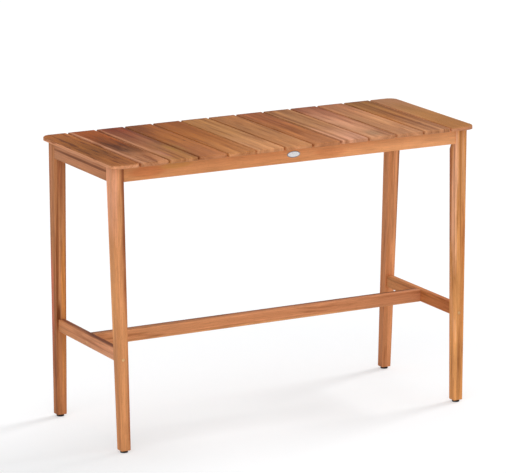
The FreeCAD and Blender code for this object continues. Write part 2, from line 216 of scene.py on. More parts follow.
# noises of the grain; drawn is the share of their fineness that is left along it
grainNoises = {
    "wobble": {"scale": 7, "drawn": 0.22, "detail": 2, "roughness": 0.5},
    "mottle": {"scale": 21, "drawn": 0.16, "detail": 3, "roughness": 0.55},
    "fleck": {"drawn": 0.08, "detail": 2.5, "roughness": 0.55},
    "fibre": {"scale": 380, "drawn": 0.03, "detail": 5, "roughness": 0.65},
    "pore": {"scale": 1500, "drawn": 0.05, "detail": 2, "roughness": 0.6},
}

# the figure that all the wood shares; a pair is limits, the values of a noise or the cosines between which
# a mark comes in, but fibreShade and glossSwing are what it comes to
figure = {
    "step": 1.37,            # m along the grain from one piece's pattern to the next
    "mottled": (0.3, 0.7), "mottleFades": (0.32, 0.68), "mottleDepth": 0.3,
    "toneMargin": 0.04, "toneShift": 0.12,              # shares of the length
    "upright": (0.8, 0.4), "sawnEnd": (0.75, 0.95),
    "patchRagged": 0.35, "patchFade": (0.45, 1.0),      # shares of a patch's half size
    "ringDetail": 2.2, "ringRoughness": 0.55, "ringFades": (0.36, 0.62), "ringLeast": 0.3,
    "ringDark": (0.52, 0.4), "darkTint": (0.5, 0.38, 0.26, 1),
    "ringPale": (0.53, 0.64), "paleTint": (1.32, 1.4, 1.45, 1), "paleStrength": 0.6,
    "fleckDark": (0.53, 0.66), "fleckTint": (0.46, 0.33, 0.22, 1), "fleckOnEnds": 0.1,
    "lineStart": 3.1,        # m, which keeps the lines from following the rings
    "lineDetail": 0.8, "lineLevel": 0.44, "lineHalf": 0.045, "lineFades": (0.38, 0.6), "lineLeast": 0.15,
    "fibreFades": (0.3, 0.7), "fibreShade": (0.84, 1.15), "poreOpens": (0.6, 0.68), "poreShade": 0.72,
    # limits of the edges painted paler, a painted highlight with rubbed wear
    "highlightAndWearBend": (0.998, 0.86), "highlightAndWearFades": (0.35, 0.6), "highlightAndWearLeast": 0.55, "bevelSamples": 6,
    "fibreHeight": 0.6, "poreDepth": 0.5, "ringHeight": 0.4,
    "bumpStrength": 0.35, "bumpHeight": 0.4,            # mm
    "glossSwing": (-0.06, 0.08), "poreRoughness": 0.15, "ior": 1.4, "specular": 0.12,
}


def grainCoords(tree, node, look, seed, place):
    # coordinates with the heart of the tree as their Z axis, in a stretch of the pattern of the piece's own
    turn = [math.radians(angle) for angle in grainTurns[look["grain"]]]
    if look["grain"] == "Z":
        turn = [math.atan(look["lean"][1]), -math.atan(look["lean"][0]), 0]
    low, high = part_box(node)
    middle = Euler(turn).to_matrix() @ ((low + high) / 2)
    heart = Vector((look["heart"][0] * mm, look["heart"][1] * mm, 0))
    shift = heart - Vector((middle.x, middle.y, 0)) + Vector((0, 0, figure["step"] * seed))
    return add(tree, "ShaderNodeMapping", {"Vector": place, "Location": shift, "Rotation": turn}).outputs[0]


def grainNoise(tree, along, kind):
    drawn = stretched(tree, along, (1, 1, kind["drawn"]))
    return noise(tree, drawn, kind["scale"], kind["detail"], kind["roughness"])


def facing(tree, normal, axis):
    # how squarely a face looks along an axis, from 0 to 1
    return maths(tree, "ABSOLUTE", add(tree, "ShaderNodeSeparateXYZ", {0: normal}).outputs[axis])


def tonesAlong(tree, node, look, place, mottle):
    # the piece's tones from end to end
    low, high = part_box(node)
    axis = "XYZ".index(look["grain"])
    run = add(tree, "ShaderNodeSeparateXYZ", {0: place}).outputs[look["grain"]]
    run = ranged(tree, run, (low[axis], high[axis]))
    shift = ranged(tree, mottle, figure["mottled"], (-figure["toneShift"], figure["toneShift"]))
    first = figure["toneMargin"]
    apart = (1 - 2 * first) / max(1, len(look["tones"]) - 1)
    stops = [(first + apart * number, shade) for number, shade in enumerate(look["tones"])]
    return ramp(tree, maths(tree, "ADD", run, shift), stops)


def addPatches(tree, tone, look, place, mottle):
    ragged = figure["patchRagged"]
    for spot, size, patchTone, share in look["patches"]:
        off = vectorMaths(tree, "SUBTRACT", place, [v * mm for v in spot])
        off = vectorLength(tree, vectorMaths(tree, "DIVIDE", off, [v * mm for v in size]))
        off = maths(tree, "ADD", off, ranged(tree, mottle, figure["mottled"], (ragged, -ragged)))
        tone = mixed(tree, ranged(tree, off, figure["patchFade"], (share, 0.0)), tone, patchTone)
    return tone


def addRings(tree, tone, look, ringBand, mottle):
    # dark and pale rings that come and go
    strongest = look["streak"]
    strength = ranged(tree, mottle, figure["ringFades"], (figure["ringLeast"] * strongest, strongest))
    darkShare = times(tree, ranged(tree, ringBand, figure["ringDark"]), strength)
    paleShare = times(tree, ranged(tree, ringBand, figure["ringPale"]), strength)
    paleShare = times(tree, paleShare, figure["paleStrength"])
    tone = mixed(tree, darkShare, tone, figure["darkTint"], "MULTIPLY")
    return mixed(tree, paleShare, tone, figure["paleTint"], "MULTIPLY")


def addFlecks(tree, tone, look, swaying, endShare):
    flecks = grainNoise(tree, swaying, dict(grainNoises["fleck"], scale=1 / (look["fleckSize"] * mm)))
    share = ranged(tree, flecks.outputs["Fac"], figure["fleckDark"], (0.0, look["fleck"]))
    share = times(tree, share, fading(tree, endShare, figure["fleckOnEnds"]))
    return mixed(tree, share, tone, figure["fleckTint"], "MULTIPLY")


def addLines(tree, tone, look, length, wobble):
    # thin dark lines beside the rings
    lineBand = bands(tree, maths(tree, "ADD", length, figure["lineStart"]), look["linesPerMetre"],
                     figure["lineDetail"])
    off = maths(tree, "ABSOLUTE", maths(tree, "SUBTRACT", lineBand, figure["lineLevel"]))
    share = ranged(tree, off, (0.0, figure["lineHalf"]), (look["lineDepth"], 0.0))
    strength = ranged(tree, wobble, figure["lineFades"], (figure["lineLeast"], 1.0))
    share = times(tree, share, strength)
    return mixed(tree, share, tone, look["lineTone"])


def makeWood(name, node, seed, **changes):
    look = dict(woodDefaults, **changes)
    material, tree = newMaterial(name)
    coords = add(tree, "ShaderNodeTexCoord")
    place, normal = coords.outputs["Object"], coords.outputs["Normal"]
    along = grainCoords(tree, node, look, seed, place)
    wobble = grainNoise(tree, along, grainNoises["wobble"])
    mottle = grainNoise(tree, along, grainNoises["mottle"]).outputs["Fac"]
    fibre = grainNoise(tree, along, grainNoises["fibre"]).outputs["Fac"]
    pore = grainNoise(tree, along, grainNoises["pore"]).outputs["Fac"]
    poreShare = ranged(tree, pore, figure["poreOpens"])

    # tones of the length, a painted highlight on upright faces, the tones of patches, and a painted
    # highlight on sawn ends
    tone = tonesAlong(tree, node, look, place, mottle)
    # upright faces painted paler: a painted highlight where the light catches the boards' sides
    upright = ranged(tree, facing(tree, normal, "Z"), figure["upright"], (0.0, look["sideShare"]))
    tone = mixed(tree, upright, tone, look["sideHighlightTone"])
    tone = addPatches(tree, tone, look, place, mottle)
    endShare = ranged(tree, facing(tree, normal, look["grain"]), figure["sawnEnd"])
    # sawn ends painted paler: a painted highlight
    tone = mixed(tree, times(tree, endShare, look["endHighlightShare"]), tone, look["endHighlightTone"])

    # rings, wavering slowly along the grain
    sway = stretched(tree, vectorMaths(tree, "SUBTRACT", wobble.outputs["Color"], (0.5, 0.5, 0.5)),
                     [look["waver"] * mm] * 3)
    swaying = vectorMaths(tree, "ADD", along, sway)
    length = vectorLength(tree, stretched(tree, swaying, (1, 1, 0)))
    ringBand = bands(tree, length, look["ringsPerMetre"], figure["ringDetail"], figure["ringRoughness"])
    tone = addRings(tree, tone, look, ringBand, mottle)
    tone = addFlecks(tree, tone, look, swaying, endShare)
    tone = addLines(tree, tone, look, length, wobble.outputs["Fac"])

    # fibres, pores, mottle and the shade of sawn ends
    depth = figure["mottleDepth"] * look["mottle"]
    shade = ranged(tree, fibre, figure["fibreFades"], figure["fibreShade"])
    for factor in (fading(tree, poreShare, figure["poreShade"]),
                   ranged(tree, mottle, figure["mottleFades"], (1 - depth, 1 + depth)),
                   fading(tree, endShare, look["endGrain"])):
        shade = times(tree, shade, factor)
    grey = add(tree, "ShaderNodeCombineColor", {0: shade, 1: shade, 2: shade}).outputs[0]
    tone = mixed(tree, 1.0, tone, grey, "MULTIPLY")

    # edges painted paler: a painted highlight where the rounded edges catch the light, and rubbed wear
    rounded = add(tree, "ShaderNodeBevel", {"Radius": look["edgeWidth"] * mm},
                  samples=figure["bevelSamples"]).outputs[0]
    flat = add(tree, "ShaderNodeNewGeometry").outputs["Normal"]
    bend = add(tree, "ShaderNodeVectorMath", {0: rounded, 1: flat}, operation="DOT_PRODUCT")
    edgeHighlightAndWear = ranged(tree, bend.outputs["Value"], figure["highlightAndWearBend"], (0.0, look["edgeShare"]))
    edgeHighlightAndWear = times(tree, edgeHighlightAndWear, ranged(tree, mottle, figure["highlightAndWearFades"], (figure["highlightAndWearLeast"], 1.0)))
    tone = mixed(tree, edgeHighlightAndWear, tone, look["edgeTone"])

    # relief and gloss
    height = maths(tree, "SUBTRACT", times(tree, fibre, figure["fibreHeight"]),
                   times(tree, poreShare, figure["poreDepth"]))
    height = maths(tree, "ADD", height, times(tree, ringBand, figure["ringHeight"]))
    bump = add(tree, "ShaderNodeBump", {"Height": height, "Strength": figure["bumpStrength"],
                                        "Distance": figure["bumpHeight"] * mm, "Normal": rounded})
    gloss = ranged(tree, fibre, figure["fibreFades"], around(look["roughness"], figure["glossSwing"]))
    gloss = maths(tree, "ADD", gloss, times(tree, poreShare, figure["poreRoughness"]))
    shader = add(tree, "ShaderNodeBsdfPrincipled",
                 {"Base Color": tone, "Roughness": gloss, "Normal": bump.outputs[0], "IOR": figure["ior"],
                  "Specular IOR Level": figure["specular"]})
    finishMaterial(tree, shader)
    return material


def dress(name, material):
    mesh = nodes[name].data
    mesh.materials.clear()
    mesh.materials.append(material)


# the top's boards, left to right, each from another plank; tones from the front to the rear
boardLooks = [
    {"heart": (14, 30), "streak": 0.65, "fleck": 1.0, "fleckSize": 10, "ringsPerMetre": 75,
     "lineDepth": 0.8, "waver": 2.5,
     "tones": [rgb(165, 98, 45), rgb(149, 87, 27), rgb(182, 108, 50)],
     "sideHighlightTone": rgb(246, 174, 130), "sideShare": 0.9, "endHighlightShare": 0.75,
     "patches": [((-650, -70, 1000), (60, 90, 60), rgb(112, 62, 18), 0.35)]},
    {"heart": (-30, 26), "streak": 0.6, "fleck": 0.9, "fleckSize": 12, "ringsPerMetre": 65,
     "lineDepth": 0.7, "waver": 3,
     "tones": [rgb(194, 129, 85), rgb(119, 60, 6), rgb(166, 83, 26)],
     "patches": [((-548, -75, 1000), (60, 70, 60), rgb(84, 42, 6), 0.45),
                 # a painted highlight: a pale strip along the board's left edge, where its rounded edge
                 # catches the light
                 ((-593, 0, 1000), (10, 620, 12), rgb(212, 150, 114), 0.8)]},
    {"heart": (70, 20), "streak": 0.8,
     "tones": [rgb(177, 118, 62), rgb(164, 103, 65), rgb(135, 61, 30)],
     "patches": [((-400, -110, 1000), (24, 120, 60), rgb(178, 124, 54), 0.75),
                 ((-470, -170, 1000), (20, 90, 60), rgb(200, 134, 104), 0.6),
                 # a painted highlight: a pale strip along the board's left edge, where its rounded edge
                 # catches the light
                 ((-484, 0, 1000), (9, 560, 12), rgb(204, 140, 102), 0.6)]},
    {"heart": (-18, 34), "streak": 0.9,
     "tones": [rgb(181, 111, 63), rgb(174, 104, 45), rgb(147, 81, 33)],
     "patches": [((-305, -21, 1000), (5, 15, 60), rgb(84, 40, 22), 0.9),
                 ((-370, -120, 1000), (16, 130, 60), rgb(176, 126, 66), 0.6)]},
    {"heart": (40, 30), "streak": 0.8,
     "tones": [rgb(196, 128, 71), rgb(178, 106, 43), rgb(156, 86, 33)]},
    {"heart": (90, 10), "streak": 0.6,
     "tones": [rgb(218, 153, 101), rgb(192, 133, 78), rgb(181, 123, 68)],
     # a painted highlight: a pale strip along the board's left edge, where its rounded edge catches the
     # light
     "patches": [((-152, -150, 1000), (8, 190, 12), rgb(214, 156, 112), 0.6)]},
    {"heart": (-12, 28), "streak": 0.7,
     "tones": [rgb(199, 135, 84), rgb(184, 123, 72), rgb(173, 112, 63)]},
    {"heart": (60, 20), "streak": 0.8,
     "tones": [rgb(192, 122, 73), rgb(170, 103, 52), rgb(164, 94, 52)]},
    {"heart": (-80, 14), "streak": 0.8,
     "tones": [rgb(223, 159, 125), rgb(185, 128, 82), rgb(174, 118, 72)],
     # a painted highlight: a pale strip along the board's left edge, where its rounded edge catches the
     # light
     "patches": [((178, -170, 1000), (9, 150, 12), rgb(222, 164, 132), 0.6)]},
    {"heart": (22, 32), "streak": 0.7,
     "tones": [rgb(201, 141, 100), rgb(208, 146, 109), rgb(157, 87, 55)],
     "patches": [((325, -215, 1000), (36, 60, 60), rgb(166, 126, 92), 0.6)]},
    {"heart": (-46, 22), "streak": 0.6,
     "tones": [rgb(194, 134, 92), rgb(201, 141, 95), rgb(177, 113, 74)]},
    {"heart": (75, 12), "streak": 0.9, "lineDepth": 0.7,
     "tones": [rgb(193, 133, 90), rgb(176, 112, 59), rgb(156, 104, 50)],
     "patches": [((557, -146, 1000), (4, 26, 60), rgb(116, 60, 44), 0.85)]},
    {"heart": (-20, 60), "streak": 0.35, "fleck": 0.2, "lineDepth": 0.2, "sideHighlightTone": rgb(212, 142, 112),
     "sideShare": 0.6,
     "tones": [rgb(181, 119, 61), rgb(187, 128, 71), rgb(174, 121, 84)]},
]

boardDefaults = {"grain": "Y", "edgeWidth": 5, "waver": 6, "patches": [], "endHighlightShare": 0.3}
# each board but the last is painted darker in a band along its rear edge
rearDarkening = {"halfSize": (70, 16, 60), "tone": rgb(112, 42, 28), "share": 0.55}     # not on the last board

# a piece's seed gives it a stretch of the pattern of its own; the boards take 1 to 13
firstSeeds = {"boards": 1, "frame": 31, "legs": 41, "hidden": 51}

for number, look in enumerate(boardLooks, firstSeeds["boards"]):
    node = f"top_board_{number:02d}"
    look = dict(boardDefaults, **look)
    if number < len(boardLooks):
        low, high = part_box(node)
        rearEdge = ((low.x + high.x) / 2 / mm, high.y / mm, high.z / mm)
        rearBand = (rearEdge, rearDarkening["halfSize"], rearDarkening["tone"], rearDarkening["share"])
        look["patches"] = look["patches"] + [rearBand]
    dress(node, makeWood("wood_" + node, node, number, **look))
print("bar table: boards dressed")

# aprons, legs and footrest
frameLooks = {
    "front_apron": {"grain": "X", "heart": (120, 18), "streak": 0.08, "fleck": 0.05, "lineDepth": 0.04,
                    "edgeTone": rgb(244, 150, 74), "edgeShare": 0.9, "edgeWidth": 3, "mottle": 0.3,
                    "tones": [rgb(217, 147, 96), rgb(222, 149, 97), rgb(238, 168, 115)],
                    "patches": [((-560, -244, 960), (70, 60, 22), rgb(198, 110, 62), 0.5),
                                ((-450, -244, 975), (60, 60, 14), rgb(206, 146, 78), 0.6),
                                ((140, -244, 955), (60, 60, 20), rgb(204, 120, 72), 0.4)]},
    "rear_apron": {"grain": "X", "heart": (80, -20)},
    "left_end_apron": {"grain": "Y", "heart": (50, 30), "streak": 0.3, "fleck": 0.2, "lineDepth": 0.2,
                       "tones": [rgb(198, 132, 90), rgb(203, 139, 99)],
                       # the first patch is painted shade: a dark line on the apron below the top's overhang
                       "patches": [((-690, -20, 966), (30, 290, 5.5), rgb(126, 70, 42), 0.85),
                                   ((-690, 0, 984), (30, 320, 7), rgb(216, 152, 116), 0.75)]},
    "right_end_apron": {"grain": "Y", "heart": (-60, 25)},
    "left_stretcher": {"grain": "Y", "heart": (40, 60), "streak": 0.4, "lineDepth": 0.2,
                       "tones": [rgb(236, 167, 127), rgb(213, 144, 96)],
                       # painted shade: the top face darkened along its length, and a soft line of shade
                       # along the middle of the outer face
                       "patches": [((-650, 60, 357), (22, 700, 5), rgb(124, 62, 38), 0.8),
                                   ((-668, 0, 336), (12, 600, 6), rgb(182, 110, 74), 0.5)]},
    "right_stretcher": {"grain": "Y", "heart": (60, 30), "streak": 0.5,
                        "tones": [rgb(199, 118, 65), rgb(215, 146, 92)]},
    "long_stretcher": {"grain": "X", "heart": (50, 40), "streak": 0.5, "lineDepth": 0.35,
                       "tones": [rgb(225, 154, 105), rgb(211, 140, 97)],
                       # a painted reflection of the floor along the lower front edge, and painted shade
                       # along the rear of the top face
                       "patches": [((0, -17, 312), (1500, 30, 8), rgb(244, 180, 124), 0.8),
                                   ((0, 17, 357), (1500, 16, 6), rgb(104, 64, 32), 0.8)]},
}
for number, (node, look) in enumerate(frameLooks.items(), firstSeeds["frame"]):
    dress(node, makeWood("wood_" + node, node, number, sideShare=0, **look))

legDefaults = {"ringsPerMetre": 50, "linesPerMetre": 70, "waver": 5, "sideShare": 0}
legLean = (0.0129, 0.0281)      # for each length down, inwards along the table and outwards across it
legLooks = {
    "front_left": {"heart": (90, 16), "streak": 0.35, "fleck": 0.25, "lineDepth": 0.2,
                   "tones": [rgb(218, 149, 97), rgb(226, 155, 104)],
                   # the first two patches paint the leg's left face paler: a painted highlight where the
                   # light from the left falls
                   "patches": [((-686, -240, 880), (24, 60, 180), rgb(252, 178, 138), 0.85),
                               ((-690, -236, 500), (12, 60, 300), rgb(246, 174, 112), 0.7),
                               ((-646, -250, 850), (16, 30, 330), rgb(146, 80, 48), 0.85),
                               ((-640, -262, 140), (10, 30, 260), rgb(180, 104, 66), 0.6)]},
    "front_right": {"heart": (-70, 40), "streak": 0.5, "lineDepth": 0.6,
                    "tones": [rgb(232, 161, 98), rgb(227, 157, 95)],
                    "patches": [((646, -206, 650), (6, 26, 700), rgb(168, 98, 64), 0.8),
                                ((646, -244, 650), (6, 24, 700), rgb(250, 188, 148), 0.85),
                                ((652, -247, 880), (7, 12, 190), rgb(226, 164, 124), 0.7),
                                ((664, -247, 700), (3, 14, 330), rgb(150, 88, 44), 0.6),
                                ((676, -247, 820), (6, 12, 260), rgb(238, 174, 126), 0.7),
                                ((676, -250, 640), (2.5, 14, 260), rgb(184, 104, 48), 0.7),
                                ((689, -247, 860), (4, 12, 200), rgb(206, 128, 82), 0.7),
                                ((674, -254, 380), (12, 14, 260), rgb(212, 138, 78), 0.6)]},
    "rear_left": {"heart": (60, -50), "streak": 0.9,
                  "tones": [rgb(191, 123, 78), rgb(211, 144, 96)],
                  "patches": [((-690, 236, 500), (5, 34, 560), rgb(196, 130, 100), 0.6),
                              ((-677, 214, 600), (6, 40, 560), rgb(140, 78, 42), 0.75),
                              # painted shade: the leg darker just below the apron, and a dark spot where
                              # the left stretcher meets the leg
                              ((-668, 205, 880), (16, 40, 140), rgb(160, 92, 58), 0.6),
                              ((-671, 220, 366), (9, 40, 60), rgb(112, 54, 22), 0.85),
                              ((-683, 252, 470), (9, 18, 400), rgb(222, 122, 98), 0.7),
                              ((-653, 220, 500), (11, 16, 480), rgb(230, 152, 80), 0.75)]},
    "rear_right": {"heart": (-90, -20), "streak": 0.6,
                   "patches": [((686, 214, 640), (8, 40, 360), rgb(150, 86, 48), 0.75)],
                   "tones": [rgb(219, 146, 98), rgb(243, 167, 114)]},
}
for number, (corner, look) in enumerate(legLooks.items(), firstSeeds["legs"]):
    sideX, sideY = corners[corner]
    node = corner + "_leg"
    look = dict(legDefaults, lean=(sideX * legLean[0], -sideY * legLean[1]), **look)
    dress(node, makeWood("wood_" + node, node, number, **look))

hiddenLook = {"tones": [rgb(178, 122, 80), rgb(168, 112, 74), rgb(180, 124, 84)], "roughness": 0.7,
              "edgeShare": 0.3, "sideShare": 0}
hiddenGrain = {"front_slat_rail": "X", "rear_slat_rail": "X", "centre_slat_rail": "X",
               "left_end_slat_rail": "Y", "right_end_slat_rail": "Y", "wooden_dowels": "Y"}
for corner in corners:
    hiddenGrain[corner + "_corner_block"] = "Z"
for number, (node, grain) in enumerate(hiddenGrain.items(), firstSeeds["hidden"]):
    dress(node, makeWood("wood_" + node, node, number, grain=grain, **hiddenLook))
print("bar table: frame, legs and hidden wood dressed")


# metal and plastic

# plating: clouds of tarnish and fine marks; a pair of limits stands beside what it does to tone or gloss
metalMarks = {
    "cloudScale": 160, "cloudDetail": 3, "cloudLimits": (0.42, 0.66), "cloudShare": 0.8,
    "markScale": 2600, "markDetail": 3, "markRoughness": 0.7,
    "cloudGlossLimits": (0.35, 0.65), "cloudGloss": (-0.06, 0.08),
    "markGlossLimits": (0.4, 0.7), "markGloss": (-0.03, 0.08),
    "bumpStrength": 0.18, "bumpHeight": 0.1,            # mm
}


def makeMetal(name, tone, tarnish, roughness, brushed=(1, 1, 1), metallic=1.0):
    # brushed draws the marks out along an axis, where its value is below 1
    marks = metalMarks
    material, tree = newMaterial(name)
    coords = add(tree, "ShaderNodeTexCoord").outputs["Object"]
    cloud = noise(tree, coords, marks["cloudScale"], marks["cloudDetail"]).outputs["Fac"]
    drawn = stretched(tree, coords, brushed)
    scratch = noise(tree, drawn, marks["markScale"], marks["markDetail"],
                    marks["markRoughness"]).outputs["Fac"]
    cloudShare = ranged(tree, cloud, marks["cloudLimits"], (0.0, marks["cloudShare"]))
    colour = mixed(tree, cloudShare, tone, tarnish)
    gloss = ranged(tree, cloud, marks["cloudGlossLimits"], around(roughness, marks["cloudGloss"]))
    gloss = maths(tree, "ADD", gloss, ranged(tree, scratch, marks["markGlossLimits"], marks["markGloss"]))
    bump = add(tree, "ShaderNodeBump", {"Height": scratch, "Strength": marks["bumpStrength"],
                                        "Distance": marks["bumpHeight"] * mm})
    shader = add(tree, "ShaderNodeBsdfPrincipled",
                 {"Base Color": colour, "Metallic": metallic, "Roughness": gloss,
                  "Normal": bump.outputs[0]})
    finishMaterial(tree, shader)
    return material


# moulded plastic: a fine stipple, and scuffs that run round the foot
plasticMarks = {
    "stippleScale": 3200, "stippleDetail": 2,
    "scuffScale": 260, "scuffDetail": 5, "scuffRoughness": 0.7, "scuffDrawn": (1, 1, 3),
    "scuffLimits": (0.52, 0.72), "scuffShare": 0.55,
    "glossLimits": (0.4, 0.7), "gloss": (0.48, 0.72),
    "bumpStrength": 0.3, "bumpHeight": 0.15,            # mm
}


def makePlastic(name, tone, scuffTone):
    marks = plasticMarks
    material, tree = newMaterial(name)
    coords = add(tree, "ShaderNodeTexCoord").outputs["Object"]
    stipple = noise(tree, coords, marks["stippleScale"], marks["stippleDetail"]).outputs["Fac"]
    drawn = stretched(tree, coords, marks["scuffDrawn"])
    scuff = noise(tree, drawn, marks["scuffScale"], marks["scuffDetail"],
                  marks["scuffRoughness"]).outputs["Fac"]
    scuffShare = ranged(tree, scuff, marks["scuffLimits"], (0.0, marks["scuffShare"]))
    colour = mixed(tree, scuffShare, tone, scuffTone)
    gloss = ranged(tree, scuff, marks["glossLimits"], marks["gloss"])
    bump = add(tree, "ShaderNodeBump", {"Height": stipple, "Strength": marks["bumpStrength"],
                                        "Distance": marks["bumpHeight"] * mm})
    shader = add(tree, "ShaderNodeBsdfPrincipled",
                 {"Base Color": colour, "Roughness": gloss, "Normal": bump.outputs[0]})
    finishMaterial(tree, shader)
    return material


brushedAlongX = (0.04, 1, 1)
zincFinish = makeMetal("zinc_plate", rgb(196, 198, 202), rgb(160, 162, 166), 0.36)
yellowFinish = makeMetal("yellow_plate", rgb(244, 206, 152), rgb(224, 176, 122), 0.34)
rimFinish = makeMetal("plate_rim", rgb(150, 156, 164), rgb(116, 120, 128), 0.36, brushedAlongX, 0.7)
plateFinish = makeMetal("brushed_plate", rgb(246, 248, 251), rgb(222, 226, 232), 0.3, brushedAlongX, 0.35)
padFinish = makePlastic("pad_plastic", rgb(34, 33, 32), rgb(78, 75, 70))


# turned pieces

armHalf = 0.16              # half the width of a slot or of a cross's arms, as a share of their reach
armFill = 0.1               # the same share, by which a cross's inner corners are filled out
leastSine = 0.001           # keeps the middle of an arm from a division by zero
crest = (0.45, 0.55)        # where a thread's crest begins and ends, as shares of its pitch
sharpAngle = math.radians(38)
keyDigits = 6               # vertices that agree to a micrometre are one


def offNearest(angle, spacing):
    # the angle from the nearest flat or arm, where these are evenly spaced
    return (angle + spacing / 2) % spacing - spacing / 2


def armReach(size, off):
    # how far the side of a slot or an arm is from the middle, at an angle off its own line
    return armHalf * size / max(abs(math.sin(off)), leastSine)


def ringRadius(form, size, angle):
    # how far a form's outline is from its middle; size is half its width across the flats or arms
    if form == "hexagon":
        return size / math.cos(offNearest(angle, math.pi / 3))
    if form == "cross":
        off = offNearest(angle, math.pi / 2)
        return min(size / math.cos(off), armReach(size, off) + armFill * size)
    if form == "slot":
        return min(size, armReach(size, offNearest(angle, math.pi)))
    return size


def bridge(mesh, lower, upper, material=0):
    # a strip of faces between two rings of points
    for step in range(len(lower)):
        after = (step + 1) % len(lower)
        face = mesh.faces.new((lower[step], lower[after], upper[after], upper[step]))
        face.material_index = material


def fan(mesh, ring, point):
    # triangles from a ring of points to one point
    middle = mesh.verts.new(point)
    for step in range(len(ring)):
        mesh.faces.new((ring[step], ring[(step + 1) % len(ring)], middle))


def turned(mesh, profile, place, sides, closed=True):
    # rings of (form, size, height) in mm joined by faces, with both ends closed unless it is a tube
    rings = []
    for form, size, height in profile:
        ring = []
        for step in range(sides):
            angle = 2 * math.pi * step / sides
            radius = ringRadius(form, size, angle)
            point = Vector((radius * math.cos(angle), radius * math.sin(angle), height)) * mm
            ring.append(mesh.verts.new(place @ point))
        rings.append(ring)
    for lower, upper in zip(rings, rings[1:]):
        bridge(mesh, lower, upper)
    if closed:
        for ring in (rings[0], rings[-1]):
            fan(mesh, ring, sum((v.co for v in ring), Vector()) / sides)


def roundProfile(points):
    return [("round", radius, height) for radius, height in points]


def thread(radius, depth, pitch, bottom, top):
    # a thread's outline from bottom to top
    points = []
    height = bottom
    while height + pitch <= top:
        points.append((radius - depth, height))
        points += [(radius, height + pitch * share) for share in crest]
        height += pitch
    points.append((radius - depth, top))
    return points


def finishPiece(name, mesh, material, body, replaced=()):
    bmesh.ops.recalc_face_normals(mesh, faces=mesh.faces[:])
    data = bpy.data.meshes.new(name)
    mesh.to_mesh(data)
    mesh.free()
    data.materials.append(material)
    data.shade_smooth()
    data.set_sharp_from_angle(angle=sharpAngle)
    piece = bpy.data.objects.new(name, data)
    bpy.context.scene.collection.objects.link(piece)
    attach(piece, body)
    if replaced:
        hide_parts(*replaced)
    return piece


def placed(point, direction):
    # stands a piece's own Z axis at a point, along a direction
    return Matrix.Translation(point) @ direction.to_track_quat("Z", "Y").to_matrix().to_4x4()


def solidsOf(name):
    # the point lists of a node's separate solids
    data = nodes[name].data
    keys = [tuple(round(c, keyDigits) for c in v.co) for v in data.vertices]
    parent = {key: key for key in keys}

    def root(key):
        while parent[key] != key:
            parent[key] = parent[parent[key]]
            key = parent[key]
        return key

    for face in data.polygons:
        first = root(keys[face.vertices[0]])
        for index in face.vertices[1:]:
            parent[root(keys[index])] = first
    groups = {}
    for key in parent:
        groups.setdefault(root(key), []).append(Vector(key))
    return sorted(groups.values(), key=lambda points: tuple(sum(points, Vector()) / len(points)))


def boxOf(points):
    low = Vector([min(p[k] for p in points) for k in range(3)])
    high = Vector([max(p[k] for p in points) for k in range(3)])
    return low, high


def longAxis(points):
    low, high = boxOf(points)
    size = high - low
    axis = Vector((0, 0, 0))
    axis[max(range(3), key=lambda k: size[k])] = 1
    return axis


def endsAlong(points, axis):
    # where a solid's middle line begins and ends
    low, high = boxOf(points)
    middle = (low + high) / 2
    reach = [(p - middle).dot(axis) for p in points]
    return middle + axis * min(reach), middle + axis * max(reach)


def headAndTip(points, headOutside):
    # a fastening's two ends; its head is the one farther from the table's middle, or else the nearer one
    low, high = endsAlong(points, longAxis(points))
    if (low.length > high.length) == headOutside:
        return low, high
    return high, low


# bolts of the footrest, heads outwards, with a hexagon socket; all sizes of pieces are radii, heights and
# depths in mm
boltSettings = {
    "head": 5.4, "headHeight": 3.4, "sides": 36,
    "face": 3.4,             # flat round the socket
    "crown": 0.5, "crownDrop": 0.12, "rimStart": 1.1,   # rounding of the rim
    "socket": 2.0, "socketDepth": 2.2, "socketLip": 0.25, "lipTop": 0.05,
    "socketFloor": 0.3,      # share of the socket
    "shank": 3.0, "threadLength": 33.5, "threadRunOut": 0.5, "threadDepth": 0.4, "pitch": 1.0,
}


def makeBolts(bolt):
    mesh = bmesh.new()
    for points in solidsOf("stretcher_bolts"):
        head, tip = headAndTip(points, True)
        length = (tip - head).length / mm
        threadStart = length - bolt["threadLength"]
        profile = [("hexagon", bolt["socket"] * bolt["socketFloor"], bolt["socketDepth"]),
                   ("hexagon", bolt["socket"], bolt["socketDepth"]),
                   ("hexagon", bolt["socket"], bolt["socketLip"]),
                   ("hexagon", bolt["socket"] + bolt["socketLip"], bolt["lipTop"])]
        profile += roundProfile([(bolt["face"], 0.0),
                                 (bolt["head"] - bolt["crown"], bolt["crownDrop"]),
                                 (bolt["head"] - bolt["crownDrop"], bolt["crown"]),
                                 (bolt["head"], bolt["rimStart"]),
                                 (bolt["head"], bolt["headHeight"]),
                                 (bolt["shank"], bolt["headHeight"]),
                                 (bolt["shank"], threadStart - bolt["threadRunOut"])])
        profile += roundProfile(thread(bolt["shank"], bolt["threadDepth"], bolt["pitch"], threadStart,
                                       length))
        turned(mesh, profile, placed(head, tip - head), bolt["sides"])
    finishPiece("footrest_bolts", mesh, yellowFinish, "frame", ["stretcher_bolts"])


makeBolts(boltSettings)

# barrel nuts in the footrest, a screwdriver slot at the lower end
barrelSettings = {"radius": 5.0, "chamfer": 0.3, "slot": 3.4, "slotDepth": 1.1, "slotFlare": 0.2,
                  "sides": 32}


